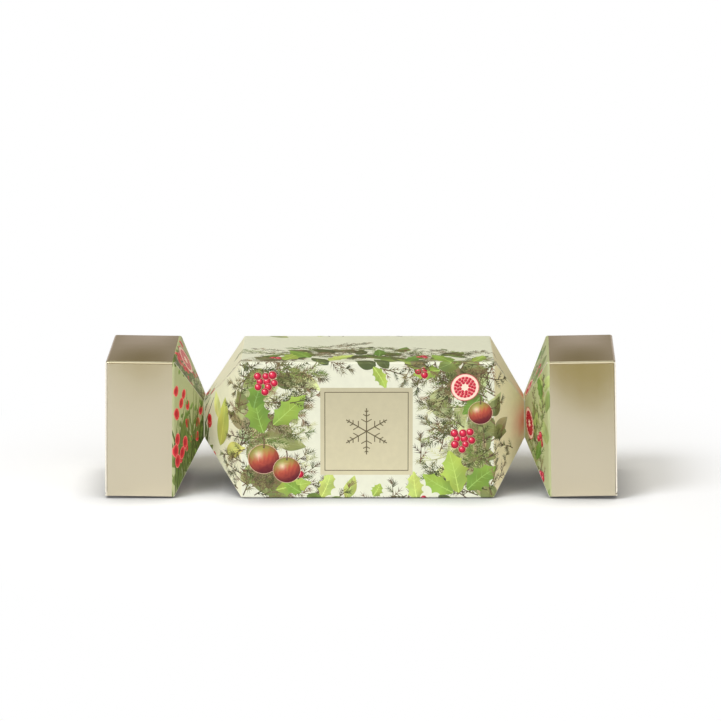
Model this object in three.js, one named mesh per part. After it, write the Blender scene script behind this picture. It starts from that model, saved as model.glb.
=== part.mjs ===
// A cracker-shaped gift carton: a square body, pinched necks and square end boxes folded from one
// board, with a tube of hand cream inside. Millimetres, +Z up. The origin is the centre of the
// body's underside, and +X runs along the cracker.
import * as THREE from 'three';
import { mergeVertices } from 'three/addons/utils/BufferGeometryUtils.js';

// Board and section
const boardThickness = 0.5;
const sectionWidth = 50; // outside, square, for the body and both end boxes
const neckWidth = 12.3; // across the neck's fold lines, middle of the board
const bodyLength = 91; // between the body's two fold lines
const seamGap = 0.2; // each panel's edge stands this far inside the corner plane
const foldGap = 0.3; // least gap between two panels at a fold
const neckPlay = 0.4; // more room at the neck folds, where an end unit leans or turns
const restGap = 0.3; // between a piece and what it rests on

// Each end unit: how far the two tapers run along X, the box length, and how it leans and turns
const endUnits = {
  right: { bodyTaperRun: 12.1, endTaperRun: 8.8, boxLength: 24.4, lean: 1.5, turn: -2.5 },
  left: { bodyTaperRun: 14.2, endTaperRun: 10.2, boxLength: 24.7, lean: 0.8, turn: 0 },
};

// Glue flaps
const glueFlapWidth = 10;
const glueFlapEndGap = 1.2;

// End closure: a lid with a tuck flap, over two dust flaps
const lidSideGap = 0.4;
const tuckLength = 12;
const tuckLean = 10; // degrees that the tuck flap stands off the bottom panel
const tuckSideGap = 2.2;
const tuckCornerRadius = 5;
const dustReach = 21;
const dustTopGap = 2.5; // from the lid's fold down to the flap, at the flap's own fold
const dustSlope = 0.62; // the flap's top edge drops this much for each millimetre of reach
const dustBottomGap = 4.2;
const dustBottomSlope = 0.08;

// Cream tube
const tubeRadius = 14;
const tubeWall = 0.45;
const tubeEndGap = 3.3; // each end of the tube stands this far from the body's end folds
const roundLength = 6; // of the sleeve, at the shoulder, before it flattens
const crimpLength = 6;
const crimpThickness = 1;
const crimpWidth = 44;
const cavityStart = 10; // where the sleeve's hollow begins, from the crimped end
const skirtDepth = 4;
const skirtWall = 1;
const shoulderLip = 1;
const shoulderRise = 3;
const spoutRadius = 6;
const spoutLength = 8.7;
const spoutBore = 2.5;
const sealThickness = 0.2;
const capRadius = 10;
const capDraft = 0.4;
const capTopThickness = 2.6;
const capClearance = 0.3;

const roundSegments = 48;

// Derived sizes, in the frame of one side: x outward, h the distance from the cracker's axis
const halfSection = sectionWidth / 2;
const halfBoard = boardThickness / 2;
const boardMiddle = halfSection - halfBoard;
const innerHalf = halfSection - boardThickness;
const neckMiddle = neckWidth / 2;
const halfBody = bodyLength / 2;
const spoutFoot = restGap + shoulderLip + shoulderRise; // from the sleeve's end, as are the next three
const spoutTop = spoutFoot + spoutLength;
const capCeiling = spoutTop + 2 * restGap + sealThickness;
const capEnd = capCeiling + capTopThickness;
const sleeveLength = bodyLength - 2 * tubeEndGap - capEnd;
const roundStart = sleeveLength - roundLength;
const radians = THREE.MathUtils.degToRad;

const printedBoard = { color: 0xdde2c8, roughness: 0.42, metalness: 0.15 };
const goldBoard = { color: 0xd2c8a0, roughness: 0.34, metalness: 0.55 };
const plainBoard = { color: 0xf1ecdc, roughness: 0.8, metalness: 0 };
const tubePlastic = { color: 0xd9e0c2, roughness: 0.45, metalness: 0 };
const whitePlastic = { color: 0xf4f2ea, roughness: 0.4, metalness: 0 };
const goldPlastic = { color: 0xcdbb85, roughness: 0.3, metalness: 0.6 };
const foil = { color: 0xd5d6d8, roughness: 0.25, metalness: 0.9 };
const cream = { color: 0xfbf8ef, roughness: 0.5, metalness: 0 };

function piece(name, geometry, look) {
  geometry.computeVertexNormals();
  const mesh = new THREE.Mesh(geometry, new THREE.MeshStandardMaterial(look));
  mesh.name = name;
  return mesh;
}

// How far a panel stops short of a fold line, so that its corners clear the next panel's
function foldRelief(turn) {
  const half = turn / 2;
  return (foldGap / 2 + halfBoard * Math.sin(half)) / Math.cos(half);
}

// A board's cross-section between two fold points [x, h], cut short at each end
function boardProfile(from, to, startRelief, endRelief) {
  const start = new THREE.Vector2(...from);
  const end = new THREE.Vector2(...to);
  const along = end.clone().sub(start).normalize();
  const outward = new THREE.Vector2(-along.y, along.x).multiplyScalar(halfBoard);
  start.addScaledVector(along, startRelief);
  end.addScaledVector(along, -endRelief);
  return [
    start.clone().add(outward),
    end.clone().add(outward),
    end.clone().sub(outward),
    start.clone().sub(outward),
  ];
}

// One side's panel below the axis. Its long edges lie on the corner planes, less the seam gap, so
// four such panels turned about the axis close a square.
function sidePanel(profile) {
  const positions = [];
  for (const sign of [-1, 1]) {
    for (const point of profile) positions.push(point.x, sign * (point.y - seamGap), -point.y);
  }
  const faces = [0, 1, 2, 0, 2, 3, 4, 6, 5, 4, 7, 6];
  for (let i = 0; i < 4; i += 1) {
    const next = (i + 1) % 4;
    faces.push(i, i + 4, next + 4, i, next + 4, next);
  }
  const geometry = new THREE.BufferGeometry();
  geometry.setAttribute('position', new THREE.Float32BufferAttribute(positions, 3));
  geometry.setIndex(faces);
  return geometry.toNonIndexed();
}

// Names the four sides in the order of quarter turns about X from the bottom, seen along the unit
const sideNames = {
  right: ['bottom', 'back', 'top', 'front'],
  left: ['bottom', 'front', 'top', 'back'],
};

function addSides(group, names, label, look, profileOf) {
  names.forEach((side, quarter) => {
    const geometry = sidePanel(profileOf(side));
    geometry.rotateX((quarter * Math.PI) / 2);
    group.add(piece(label(side), geometry, look));
  });
}

// A flat flap: an outline [across, along] given thickness about its own plane
function flap(outline) {
  const geometry = new THREE.ExtrudeGeometry(outline, {
    depth: boardThickness,
    bevelEnabled: false,
    curveSegments: 6,
  });
  geometry.translate(0, 0, -halfBoard);
  return geometry;
}

// The strip glued inside the back panel, standing on the bottom panel's back edge
function glueFlap(name, fromX, toX, backSign) {
  const geometry = new THREE.BoxGeometry(toX - fromX, boardThickness, glueFlapWidth);
  const y = innerHalf - restGap - halfBoard;
  const z = -innerHalf + restGap + glueFlapWidth / 2;
  geometry.translate((fromX + toX) / 2, backSign * y, z);
  return piece(name, geometry, plainBoard);
}

function body() {
  const group = new THREE.Group();
  const relief = foldRelief(Math.max(...Object.values(endUnits).map(taperTurn)));
  const profile = boardProfile([-halfBody, boardMiddle], [halfBody, boardMiddle], relief, relief);
  addSides(group, sideNames.right, (side) => `body_${side}_panel`, printedBoard, () => profile);
  const reach = halfBody - glueFlapEndGap;
  group.add(glueFlap('body_glue_flap', -reach, reach, 1));
  return group;
}

// The fold angle between the body and its taper, and between the end box and its taper
function taperTurn(unit) {
  return Math.atan2(boardMiddle - neckMiddle, unit.bodyTaperRun);
}

function endTurn(unit) {
  return Math.atan2(boardMiddle - neckMiddle, unit.endTaperRun);
}

function neckRelief(unit) {
  return foldRelief(taperTurn(unit) + endTurn(unit)) + neckPlay;
}

function bodyTapers(name, unit) {
  const group = new THREE.Group();
  const label = (side) => `${name}_body_taper_${side}`;
  const start = [halfBody, boardMiddle];
  const end = [halfBody + unit.bodyTaperRun, neckMiddle];
  const profile = boardProfile(start, end, foldRelief(taperTurn(unit)), neckRelief(unit));
  addSides(group, sideNames[name], label, printedBoard, () => profile);
  return group;
}

// In the end unit's own frame, x = 0 is the neck's fold plane
function endTapers(name, unit) {
  const group = new THREE.Group();
  const label = (side) => `${name}_end_taper_${side}`;
  const end = [unit.endTaperRun, boardMiddle];
  const profile = boardProfile([0, neckMiddle], end, neckRelief(unit), foldRelief(endTurn(unit)));
  addSides(group, sideNames[name], label, printedBoard, () => profile);
  return group;
}

function endBox(name, unit) {
  const group = new THREE.Group();
  const outside = unit.endTaperRun + unit.boxLength;
  const lidPlane = outside - halfBoard;
  const dustPlane = lidPlane - boardThickness - restGap;
  const squareFold = foldRelief(Math.PI / 2);
  const ends = {
    bottom: outside,
    top: lidPlane - squareFold,
    front: dustPlane - squareFold,
    back: dustPlane - squareFold,
  };
  const start = [unit.endTaperRun, boardMiddle];
  const profileOf = (side) =>
    boardProfile(start, [ends[side], boardMiddle], foldRelief(endTurn(unit)), 0);
  addSides(group, sideNames[name], (side) => `${name}_end_panel_${side}`, goldBoard, profileOf);

  const backSign = name === 'right' ? 1 : -1;
  const flapStart = unit.endTaperRun + glueFlapEndGap;
  const flapEnd = dustPlane - halfBoard - restGap;
  group.add(glueFlap(`${name}_end_glue_flap`, flapStart, flapEnd, backSign));

  group.add(lid(name, lidPlane, squareFold));
  group.add(tuckFlap(name, lidPlane));
  for (const [side, sign] of [['front', -backSign], ['back', backSign]]) {
    group.add(dustFlap(`${name}_dust_flap_${side}`, dustPlane, sign, squareFold));
  }
  return group;
}

// The tuck flap's fold lies just inside the bottom panel
const tuckFold = innerHalf - restGap - halfBoard;
const tuckTurn = Math.PI / 2 + radians(tuckLean);

function lid(name, lidPlane, squareFold) {
  const top = boardMiddle - squareFold;
  const bottom = -tuckFold + foldRelief(tuckTurn);
  const width = 2 * (halfSection - lidSideGap);
  const geometry = new THREE.BoxGeometry(boardThickness, width, top - bottom);
  geometry.translate(lidPlane, 0, (top + bottom) / 2);
  return piece(`${name}_lid`, geometry, goldBoard);
}

function tuckFlap(name, lidPlane) {
  const half = innerHalf - tuckSideGap;
  const start = foldRelief(tuckTurn);
  const roundFrom = tuckLength - tuckCornerRadius;
  const outline = new THREE.Shape();
  outline.moveTo(-half, start);
  outline.lineTo(half, start);
  outline.lineTo(half, roundFrom);
  outline.absarc(half - tuckCornerRadius, roundFrom, tuckCornerRadius, 0, Math.PI / 2);
  outline.absarc(tuckCornerRadius - half, roundFrom, tuckCornerRadius, Math.PI / 2, Math.PI);
  outline.closePath();
  const geometry = flap(outline);
  // Across becomes Y, along runs inward from the fold and rises by the lean
  geometry.rotateZ(Math.PI / 2);
  geometry.rotateY(radians(tuckLean));
  geometry.translate(lidPlane, 0, -tuckFold);
  return piece(`${name}_tuck_flap`, geometry, goldBoard);
}

function dustFlap(name, dustPlane, sign, squareFold) {
  const foldTop = boardMiddle - dustTopGap;
  const foldBottom = -innerHalf + dustBottomGap;
  const reach = dustReach - squareFold;
  const outline = new THREE.Shape();
  outline.moveTo(squareFold, foldBottom);
  outline.lineTo(dustReach, foldBottom + dustBottomSlope * reach);
  outline.lineTo(dustReach, foldTop - dustSlope * dustReach);
  outline.lineTo(squareFold, foldTop - dustSlope * squareFold);
  outline.closePath();
  const geometry = flap(outline);
  // Reach runs inward from the side panel's fold, along -Y or +Y, and the outline stands up along Z
  geometry.rotateX(Math.PI / 2);
  geometry.rotateZ(-sign * (Math.PI / 2));
  geometry.translate(dustPlane, sign * boardMiddle, 0);
  return piece(name, geometry, goldBoard);
}

function side(name, unit) {
  const group = new THREE.Group();
  group.rotation.z = name === 'right' ? 0 : Math.PI;
  group.add(bodyTapers(name, unit));
  const end = new THREE.Group();
  end.position.x = halfBody + unit.bodyTaperRun;
  end.rotation.set(0, -radians(unit.lean), radians(unit.turn));
  end.add(endTapers(name, unit), endBox(name, unit));
  group.add(end);
  return group;
}

// A closed body through rings of points, with a flat cap on the first and last ring
function loft(rings) {
  const count = rings[0].length;
  const positions = rings.flat().flatMap((point) => point.toArray());
  const faces = [];
  const add = (a, b, c) => faces.push(a, b, c);
  for (let ring = 0; ring + 1 < rings.length; ring += 1) {
    for (let i = 0; i < count; i += 1) {
      const a = ring * count + i;
      const b = ring * count + ((i + 1) % count);
      add(a, a + count, b + count);
      add(a, b + count, b);
    }
  }
  const last = (rings.length - 1) * count;
  for (let i = 1; i + 1 < count; i += 1) {
    add(0, i, i + 1);
    add(last, last + i + 1, last + i);
  }
  const geometry = new THREE.BufferGeometry();
  geometry.setAttribute('position', new THREE.Float32BufferAttribute(positions, 3));
  geometry.setIndex(faces);
  return mergeVertices(geometry).toNonIndexed();
}

// The sleeve is round at the shoulder and flat at the crimp
function sleeveRing(x, inset) {
  const flat = THREE.MathUtils.clamp((roundStart - x) / (roundStart - crimpLength), 0, 1);
  const halfWidth = THREE.MathUtils.lerp(tubeRadius, crimpWidth / 2, flat) - inset;
  const halfHeight = THREE.MathUtils.lerp(tubeRadius, crimpThickness / 2, flat) - inset;
  const ring = [];
  for (let i = 0; i < roundSegments; i += 1) {
    const angle = (2 * Math.PI * i) / roundSegments;
    ring.push(new THREE.Vector3(x, -halfWidth * Math.cos(angle), halfHeight * Math.sin(angle)));
  }
  return ring;
}

function stations(from, to, steps) {
  return Array.from({ length: steps + 1 }, (_, i) => from + ((to - from) * i) / steps);
}

function turned(points) {
  const profile = points.map(([radius, along]) => new THREE.Vector2(radius, along));
  const geometry = new THREE.LatheGeometry(profile, roundSegments);
  geometry.rotateZ(-Math.PI / 2);
  return geometry;
}

function tubeSleeve() {
  const outside = [0, ...stations(crimpLength, roundStart, 6), sleeveLength];
  const inside = [sleeveLength, ...stations(roundStart, cavityStart, 6)];
  const outer = outside.map((x) => sleeveRing(x, 0));
  const inner = inside.map((x) => sleeveRing(x, tubeWall));
  return piece('tube_sleeve', loft([...outer, ...inner]), tubePlastic);
}

function tubeCream() {
  const from = cavityStart + 2 * restGap;
  const to = sleeveLength - skirtDepth - restGap;
  const along = [...stations(from, roundStart, 6), to];
  const rings = along.map((x) => sleeveRing(x, tubeWall + restGap));
  return piece('tube_cream', loft(rings), cream);
}

function tubeShoulder() {
  const skirt = tubeRadius - tubeWall - restGap;
  const inside = skirt - skirtWall;
  const geometry = turned([
    [inside, -skirtDepth],
    [skirt, -skirtDepth],
    [skirt, restGap],
    [tubeRadius, restGap],
    [tubeRadius, restGap + shoulderLip],
    [spoutRadius, spoutFoot],
    [spoutRadius, spoutTop],
    [spoutBore, spoutTop],
    [spoutBore, spoutFoot - skirtWall],
    [inside, restGap],
    [inside, -skirtDepth],
  ]);
  geometry.translate(sleeveLength, 0, 0);
  return piece('tube_shoulder', geometry, whitePlastic);
}

function tubeSeal() {
  const geometry = new THREE.CylinderGeometry(spoutRadius, spoutRadius, sealThickness, roundSegments);
  geometry.rotateZ(-Math.PI / 2);
  geometry.translate(sleeveLength + spoutTop + restGap + sealThickness / 2, 0, 0);
  return piece('tube_foil_seal', geometry, foil);
}

function tubeCap() {
  const bore = spoutRadius + capClearance;
  const mouth = spoutFoot + restGap;
  const geometry = turned([
    [0, capCeiling],
    [bore, capCeiling],
    [bore, mouth],
    [capRadius, mouth],
    [capRadius - capDraft, capEnd],
    [0, capEnd],
  ]);
  geometry.translate(sleeveLength, 0, 0);
  return piece('tube_cap', geometry, goldPlastic);
}

// The tube lies on the bottom panel on the end of its crimp and on its round shoulder end
function tube() {
  const group = new THREE.Group();
  const tilt = Math.atan2(tubeRadius - crimpThickness / 2, roundStart);
  const span = (sleeveLength + capEnd) * Math.cos(tilt) + capRadius * Math.sin(tilt);
  const low = roundStart * Math.sin(tilt) - tubeRadius * Math.cos(tilt);
  group.position.set(-span / 2, 0, -innerHalf + restGap - low);
  group.rotation.y = -tilt;
  group.add(tubeSleeve(), tubeShoulder(), tubeSeal(), tubeCap(), tubeCream());
  return group;
}

const cracker = new THREE.Group();
const aroundAxis = new THREE.Group();
aroundAxis.position.z = halfSection;
aroundAxis.add(body(), tube());
for (const [name, unit] of Object.entries(endUnits)) aroundAxis.add(side(name, unit));
cracker.add(aroundAxis);

export default cracker;
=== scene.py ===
import math
import random

import bpy
import numpy as np
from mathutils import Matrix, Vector
from mathutils.bvhtree import BVHTree
from mathutils.geometry import delaunay_2d_cdt


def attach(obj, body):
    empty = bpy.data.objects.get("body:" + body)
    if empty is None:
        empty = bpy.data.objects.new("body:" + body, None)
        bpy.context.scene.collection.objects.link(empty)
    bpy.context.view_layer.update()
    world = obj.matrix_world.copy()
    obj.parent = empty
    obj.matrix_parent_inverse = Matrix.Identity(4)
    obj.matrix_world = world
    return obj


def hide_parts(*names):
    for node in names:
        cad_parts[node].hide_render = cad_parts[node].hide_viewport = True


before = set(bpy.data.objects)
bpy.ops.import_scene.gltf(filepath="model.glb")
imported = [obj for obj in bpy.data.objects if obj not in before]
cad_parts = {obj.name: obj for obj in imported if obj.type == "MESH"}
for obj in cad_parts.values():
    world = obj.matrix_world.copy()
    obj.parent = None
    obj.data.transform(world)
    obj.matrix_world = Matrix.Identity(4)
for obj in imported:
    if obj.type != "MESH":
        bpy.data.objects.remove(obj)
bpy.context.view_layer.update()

# Carton pieces are worked out in millimetres and made in metres
scene = bpy.context.scene
scene.view_settings.view_transform = "Standard"
dice = random.Random(24)

carton = {
    "board": 0.5, "section": 50.0, "neck": 12.3, "body": 91.0,
    # The board's middle line is rounded at the cross folds, the body's edges, the neck and the dust flaps
    "foldRadius": 0.75, "bodyRadius": 0.35, "neckRadius": 0.32, "dustRadius": 0.12,
    # Tapers overlap by cutLap where they are cut, and mitre widens their printed face there
    "cutLap": 0.02, "mitre": 0.35, "neckBend": 5.0,
    "grid": 6.0, "foldSteps": 4, "straight": 0.004, "merge": 1e-4,
}
endUnits = {
    "right": {"bodyRun": 12.1, "endRun": 8.8, "box": 24.4, "lean": 1.5, "turn": -2.5,
              "bow": {"front": 0.6, "top": 0.4, "back": 0.3}},
    "left": {"bodyRun": 14.2, "endRun": 10.2, "box": 24.7, "lean": 0.8, "turn": 0.0,
             "bow": {"front": 0.3, "top": 0.4, "back": 0.3}},
}
board = carton["board"]
middle = carton["section"] / 2 - board / 2
neckMiddle = carton["neck"] / 2
halfBody = carton["body"] / 2
foldRadius = carton["foldRadius"]
flatHalf = middle - foldRadius
panelHalf = flatHalf + foldRadius * math.pi / 4
pitch = 2 * panelHalf
sideRow = {"bottom": -1, "front": 0, "top": 1, "back": 2}
outward = {"front": (0, -1, 0), "top": (0, 0, 1), "back": (0, 1, 0), "bottom": (0, 0, -1)}
across = {"front": (0, 0, 1), "top": (0, 1, 0), "back": (0, 0, -1), "bottom": (0, -1, 0)}
alongX = np.array([1.0, 0, 0])


def linear(r, g, b):
    return tuple((c / 255 / 12.92) if c < 11 else ((c / 255 + 0.055) / 1.055) ** 2.4 for c in (r, g, b))


def tones(*colours):
    return [linear(*c) for c in colours]


# Materials
finish = {
    "pale": (226, 230, 211), "mint": (182, 190, 142), "cream": (234, 236, 208), "plate": (205, 200, 169),
    # The neck's reddish tone is a painted reflection of the cut fruit, and khaki partly paints the right
    # neck's shade and reflection
    "khaki": (236, 228, 190), "paintedNeckReflection": (232, 150, 106), "ink": (96, 88, 62),
    # Variations as reach, noise scale and detail. Bumps as noise scale, detail, depth and strength.
    "printMetal": 0.15, "printRoughness": 0.5, "printWear": (0.04, 160, 3), "printTint": (0.025, 500, 3),
    "printBump": (45, 0.5, 0.0006, 0.2),
    "foil": (0.68, 0.63, 0.465), "foilRoughness": 0.2, "foilWear": (0.015, 90, 2),
    "raw": (0.83, 0.80, 0.70), "rawRoughness": 0.85, "rawFibres": (700, 4, (1, 3, 3)),
    "rawShades": (0.93, 1.05), "rawBump": (1800, 3, 0.00004, 0.6),
}


def newMaterial(name, **values):
    material = bpy.data.materials.new(name)
    material.use_nodes = True
    shader = material.node_tree.nodes["Principled BSDF"]
    for key, value in values.items():
        shader.inputs[key.replace("_", " ")].default_value = value
    return material, material.node_tree, shader


def addNode(tree, kind, inputs=None, **settings):
    # A socket among the inputs is linked, and any other value is set
    node = tree.nodes.new("ShaderNode" + kind)
    for key, value in settings.items():
        setattr(node, key, value)
    for key, value in (inputs or {}).items():
        if isinstance(value, bpy.types.NodeSocket):
            tree.links.new(value, node.inputs[key])
        else:
            node.inputs[key].default_value = value
    return node


def noise(tree, scale, detail=2.0, stretch=(1, 1, 1)):
    place = addNode(tree, "TexCoord").outputs["Object"]
    mapping = addNode(tree, "Mapping", {"Vector": place, "Scale": stretch}).outputs["Vector"]
    return addNode(tree, "TexNoise", {"Vector": mapping, "Scale": scale, "Detail": detail}).outputs["Fac"]


def spread(tree, value, low, high):
    # Noise stays mostly between 0.3 and 0.7
    limits = {"From Min": 0.3, "From Max": 0.7, "To Min": low, "To Max": high}
    return addNode(tree, "MapRange", {"Value": value, **limits}).outputs["Result"]


def bump(tree, scale, detail, depth, strength):
    inputs = {"Height": noise(tree, scale, detail), "Distance": depth, "Strength": strength}
    return addNode(tree, "Bump", inputs).outputs["Normal"]


def scaled(tree, colour, factor):
    inputs = {"Factor": 1.0, "A": colour, "B": factor}
    return addNode(tree, "Mix", inputs, data_type="RGBA", blend_type="MULTIPLY").outputs["Result"]


def around(tree, value, reach, scale, detail):
    return spread(tree, noise(tree, scale, detail), value - reach, value + reach)


def printedMaterial():
    rough = finish["printRoughness"]
    material, tree, shader = newMaterial(
        "printed_pearl_board", Metallic=finish["printMetal"], Roughness=rough)
    colour = addNode(tree, "VertexColor", layer_name="print").outputs["Color"]
    tree.links.new(scaled(tree, colour, around(tree, 1.0, *finish["printTint"])), shader.inputs["Base Color"])
    tree.links.new(around(tree, rough, *finish["printWear"]), shader.inputs["Roughness"])
    tree.links.new(bump(tree, *finish["printBump"]), shader.inputs["Normal"])
    return material


def foilMaterial():
    rough = finish["foilRoughness"]
    material, tree, shader = newMaterial(
        "gold_foil_board", Metallic=1.0, Roughness=rough, Base_Color=(*finish["foil"], 1))
    tree.links.new(around(tree, rough, *finish["foilWear"]), shader.inputs["Roughness"])
    return material


def rawMaterial():
    material, tree, shader = newMaterial(
        "raw_white_board", Roughness=finish["rawRoughness"], Base_Color=(*finish["raw"], 1))
    dark, light = ([min(1, c * share) for c in finish["raw"]] for share in finish["rawShades"])
    fibres = spread(tree, noise(tree, *finish["rawFibres"]), 0, 1)
    base = addNode(tree, "Mix", {"A": (*dark, 1), "B": (*light, 1), "Factor": fibres}, data_type="RGBA")
    tree.links.new(base.outputs["Result"], shader.inputs["Base Color"])
    tree.links.new(bump(tree, *finish["rawBump"]), shader.inputs["Normal"])
    return material


boardMaterials = [printedMaterial(), foilMaterial(), rawMaterial()]
print("materials made")

# Board: each panel between two folds is one piece, rounded at its folds


class Fold:
    def __init__(self, turn, convex=True, radius=foldRadius):
        self.sign, self.radius = 1 if convex else -1, radius
        self.cut = radius * math.tan(turn / 2)
        self.arc = radius * turn / 2


class Strip:
    # A board's middle line between two fold points in the plane of x and distance from the axis
    def __init__(self, start, end, startFold, endFold):
        self.a, self.b = np.array(start, float), np.array(end, float)
        whole = np.linalg.norm(self.b - self.a)
        self.d = (self.b - self.a) / whole
        self.n = np.array([-self.d[1], self.d[0]])
        self.start, self.end = startFold, endFold
        self.flat = whole - startFold.cut - endFold.cut
        self.length = startFold.arc + self.flat + endFold.arc

    def at(self, s):
        s = np.asarray(s, float)[:, None]
        a0, a1 = self.start.arc, self.start.arc + self.flat
        point = self.a + self.d * (self.start.cut + np.clip(s, a0, a1) - a0)
        normal = np.tile(self.n, (len(s), 1))
        for fold, past, e in ((self.start, a0 - s, -1), (self.end, s - a1, 1)):
            phi = past / fold.radius
            on = phi[:, 0] > 0
            f = phi[on]
            point[on] += fold.radius * (fold.sign * self.n * (np.cos(f) - 1) + e * self.d * np.sin(f))
            normal[on] = self.n * np.cos(f) + fold.sign * e * self.d * np.sin(f)
        return point, normal


openEnd = Fold(0.0)
squareFold = Fold(math.pi / 2)
tightFold = Fold(math.pi / 2, radius=carton["dustRadius"])


def rotation(axis, degrees):
    a = math.radians(degrees)
    c, s = math.cos(a), math.sin(a)
    return np.array([[c, -s, 0], [s, c, 0], [0, 0, 1]] if axis == "z" else [[c, 0, s], [0, 1, 0], [-s, 0, c]])


# Gaps, lengths and slopes of the lids, tuck flaps and dust flaps
closure = {
    "bleed": 0.15, "lidGap": 0.1,
    "tuckFoldGap": 0.3, "tuckLength": 12.0, "tuckLean": 10.0, "tuckInset": 2.2, "tuckCorner": 5.0,
    "cornerSteps": 8,
    "dustGap": 0.06, "dustReach": 21.0, "dustTop": 2.5, "dustSlope": 0.62, "dustBottom": 4.2,
    "dustBottomSlope": 0.08,
}


class Unit:
    # The frames and folds of one neck and its end box
    def __init__(self, name):
        sizes = endUnits[name]
        self.name, self.direction = name, 1 if name == "right" else -1
        self.group = rotation("z", 0 if name == "right" else 180)
        self.tilt = rotation("y", -sizes["lean"]) @ rotation("z", sizes["turn"])
        self.neckX = halfBody + sizes["bodyRun"]
        self.outTurn = math.atan2(middle - neckMiddle, sizes["bodyRun"])
        self.endTurn = math.atan2(middle - neckMiddle, sizes["endRun"])
        self.bodyFold, self.endFold = Fold(self.outTurn), Fold(self.endTurn)
        self.neckFold = Fold(self.outTurn + self.endTurn, convex=False, radius=carton["neckRadius"])
        self.boxStart = sizes["endRun"]
        self.boxEnd = sizes["endRun"] + sizes["box"]
        self.lidPlane = self.boxEnd - board / 2
        self.dustPlane = self.lidPlane - board - closure["dustGap"]
        self.bodyTaper = Strip((halfBody, middle), (self.neckX, neckMiddle), self.bodyFold, self.neckFold)
        self.endTaper = Strip((0, neckMiddle), (self.boxStart, middle), self.neckFold, self.endFold)


units = {name: Unit(name) for name in endUnits}
body = Strip((-halfBody, middle), (halfBody, middle), units["left"].bodyFold, units["right"].bodyFold)
# Where each fold lies along the flat sheet
sheet = {}
for name, unit in units.items():
    first = unit.direction * body.length / 2
    second = first + unit.direction * unit.bodyTaper.length
    sheet[name] = (first, second, second + unit.direction * unit.endTaper.length)
sheetEdge = {name: sorted(sheet[name][1:]) for name in units}

# Printed plants, as shapes in the flat sheet's millimetres: x along, s up the front and over the top
art = []


def add(points, tint):
    area = sum(a[0] * b[1] - b[0] * a[1] for a, b in zip(points, points[1:] + points[:1]))
    art.append((points if area > 0 else points[::-1], tint))


def polar(x, s, angle, r):
    return x + r * math.cos(angle), s + r * math.sin(angle)


def shifted(x, s, dx, ds, turn):
    return x + dx * math.cos(turn) - ds * math.sin(turn), s + dx * math.sin(turn) + ds * math.cos(turn)


def headingAt(path, i):
    a, b = path[max(i - 1, 0)], path[min(i + 1, len(path) - 1)]
    return math.atan2(b[1] - a[1], b[0] - a[0])


def needle(x, s, angle, length, width, tint):
    c, n = math.cos(angle), math.sin(angle)
    add([(x + n * width / 2, s - c * width / 2), (x + c * length, s + n * length),
         (x - n * width / 2, s + c * width / 2)], tint)


def ribbon(path, widths, tint):
    left, right = [], []
    for i, spot in enumerate(path):
        angle = headingAt(path, i) + math.pi / 2
        left.append(polar(*spot, angle, widths[i] / 2))
        right.append(polar(*spot, angle, -widths[i] / 2))
    add(right + left[::-1], tint)


def arcPath(x, s, angle, length, bend, steps):
    path = [(x, s)]
    for i in range(steps):
        angle += bend / steps
        x, s = polar(x, s, angle, length / steps)
        path.append((x, s))
    return path


firTones = tones((92, 88, 50), (74, 80, 42), (108, 92, 62), (122, 114, 74), (64, 74, 38), (96, 102, 54),
                 (128, 104, 76), (84, 70, 50))
mossTones = tones((112, 132, 62), (92, 116, 50), (130, 146, 78), (84, 100, 44))
mistTones = tones((158, 166, 110), (176, 184, 132), (204, 208, 160), (150, 150, 108))
barkTones = tones((104, 84, 62), (120, 100, 74), (86, 76, 54))
leafTones = tones((166, 192, 86), (128, 166, 66), (104, 142, 56), (186, 204, 108), (146, 178, 74))
backTones = tones((150, 160, 104), (136, 146, 88), (172, 180, 126), (124, 132, 78), (160, 152, 112))
edgeTones = tones((104, 130, 58), (132, 152, 80), (86, 100, 58), (116, 118, 84), (140, 162, 78))
grassTones = tones((74, 96, 34), (98, 120, 50), (120, 138, 74), (62, 80, 28), (88, 96, 46))
deepTones = tones((84, 108, 40), (104, 126, 54), (116, 136, 68))
freshTones = tones((96, 128, 48), (120, 150, 66))
paleTones = tones((150, 172, 96), (172, 190, 120), (130, 152, 84))
fir = {"step": 1.25, "needle": 0.55, "stem": 0.13, "boughStep": 2.5, "boughWidth": 0.42}


def twig(x, s, angle, length, reach, shades):
    # One feathered outline: a thin stem with a needle on both sides at each step
    steps = max(3, round(length / fir["step"]))
    path = arcPath(x, s, angle, length, dice.uniform(-0.4, 0.4), steps)
    left, right = [], []
    for i in range(steps):
        (ax, ay), (bx, by) = path[i], path[i + 1]
        heading = math.atan2(by - ay, bx - ax)
        half = fir["stem"] * (1 - 0.6 * i / steps)
        for sign, points in ((1, left), (-1, right)):
            size = reach * (1 - 0.45 * i / steps) * dice.uniform(0.7, 1.2)
            foot = polar(ax, ay, heading + sign * math.pi / 2, half)
            tip = polar(*foot, heading + sign * dice.uniform(0.4, 0.62), size)
            points += [foot, tip, polar(*foot, heading, fir["needle"])]
    shade = dice.uniform(0.7, 1.35)
    tone = [min(1, c * shade) for c in dice.choice(shades)]
    add(right + [polar(*path[-1], heading, reach * fir["needle"])] + left[::-1], tone)


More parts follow.
